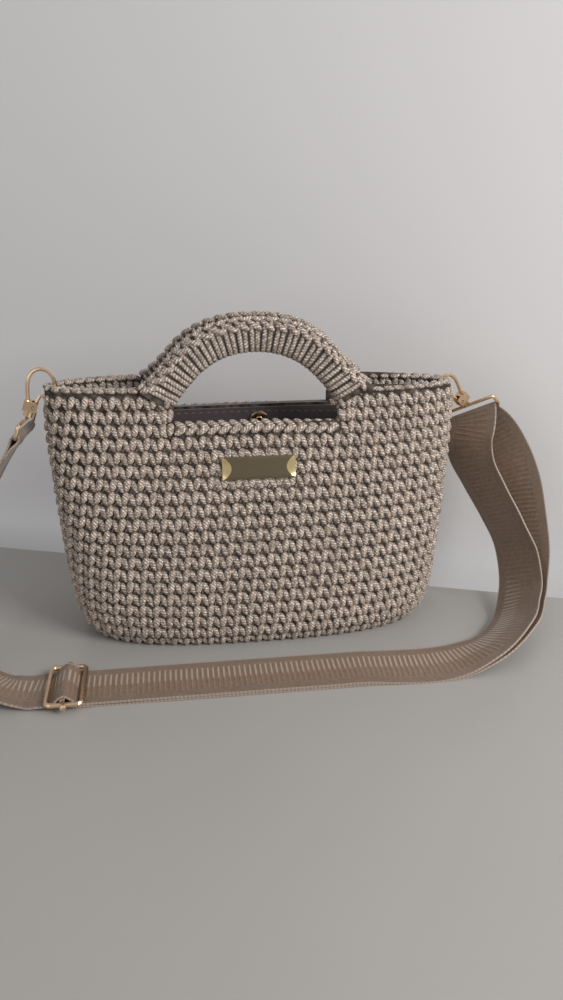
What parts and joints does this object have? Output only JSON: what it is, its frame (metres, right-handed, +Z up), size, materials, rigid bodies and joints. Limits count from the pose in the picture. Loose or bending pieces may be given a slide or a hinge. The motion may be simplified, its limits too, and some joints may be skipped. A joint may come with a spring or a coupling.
{
  "type": "crossbody bag",
  "caption": "Crocheted crossbody bag with arched hand holds, felt lining, bare metal plate, snap hooks with sprung gates, and a webbing strap with slider laid in front.",
  "frame": {"origin": "centre of the bag's flat base, on the surface it stands on", "axes": "+X to the right seen from the front, +Y to the back, +Z up"},
  "size_m": [0.4463, 0.1665, 0.2282],
  "materials": {
    "cord": "satin twisted cord, crocheted",
    "felt": "matt felt",
    "gold": "polished light gold plating",
    "plate": "polished, bare",
    "webbing": "satin ribbed webbing"
  },
  "bodies": {
    "bag": {"bag_body": "cord", "lining": "felt", "handle_front": "cord", "handle_back": "cord", "name_plate": "plate", "snap_back": "gold", "snap_front": "gold", "left_hook": "gold", "left_ring": "gold", "right_hook": "gold", "right_ring": "gold", "slider": "gold", "strap": "webbing"},
    "left_gate_body": {"left_gate": "gold"},
    "right_gate_body": {"right_gate": "gold"}
  },
  "joints": [
    {"name": "left_gate_hinge", "type": "hinge", "parent": "bag", "child": "left_gate_body", "pos_m": [-0.14974, 0, 0.1698], "axis": [0, -1, 0], "range_deg": [0, 18], "stiffness_Nm_per_rad": 0.0003, "springref_deg": -20.05},
    {"name": "right_gate_hinge", "type": "hinge", "parent": "bag", "child": "right_gate_body", "pos_m": [0.15315, 0.01028, 0.1601], "axis": [-0.4016, 0.9158, 0], "range_deg": [0, 18], "stiffness_Nm_per_rad": 0.0003, "springref_deg": -20.05}
  ]
}
